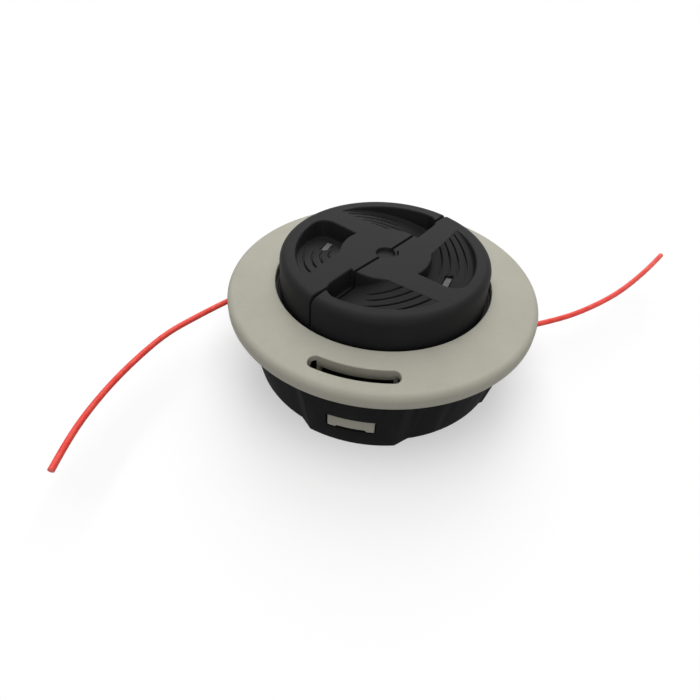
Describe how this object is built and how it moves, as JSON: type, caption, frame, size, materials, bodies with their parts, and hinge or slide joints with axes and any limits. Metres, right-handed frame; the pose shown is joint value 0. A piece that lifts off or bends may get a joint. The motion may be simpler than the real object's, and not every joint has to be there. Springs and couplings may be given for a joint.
{
  "type": "bump feed trimmer head",
  "caption": "Two-line bump feed trimmer head with a flared housing, a latched cover ring and a sprung spool whose grooved knob is tapped on the ground to feed line.",
  "frame": {"origin": "on the drive axis, in the plane that the housing's foot ring stands on", "axes": "+Z along the drive axis from the machine to the knob, +Y away from the viewer of the picture, +X to the viewer's right"},
  "size_m": [0.2438, 0.1617, 0.053],
  "materials": {
    "black_nylon": "fine grained, satin",
    "grey_nylon": "fine grained, satin",
    "red_line": "extruded, slightly translucent",
    "steel": "turned, zinc plated",
    "spring_steel": "drawn wire, oiled"
  },
  "bodies": {
    "housing": {"housing": "black_nylon", "arbor_bush": "steel", "eyelet_left": "steel", "eyelet_right": "steel", "spring_washer": "steel", "cover_ring": "grey_nylon", "line_left": "red_line", "line_right": "red_line"},
    "spring": {"compression_spring": "spring_steel"},
    "spool": {"spool": "grey_nylon", "line_winding_upper": "red_line", "line_winding_lower": "red_line", "bump_knob": "black_nylon"}
  },
  "joints": [
    {"name": "spool_wind", "type": "hinge", "parent": "housing", "child": "spring", "pos_m": [0, 0, 0.02], "axis": [0, 0, 1], "continuous": true},
    {"name": "bump_press", "type": "slide", "parent": "spring", "child": "spool", "axis": [0, 0, -1], "range_m": [0, 0.005], "stiffness_N_per_m": 3000, "springref_m": -0.004, "deforming": ["compression_spring"]}
  ]
}
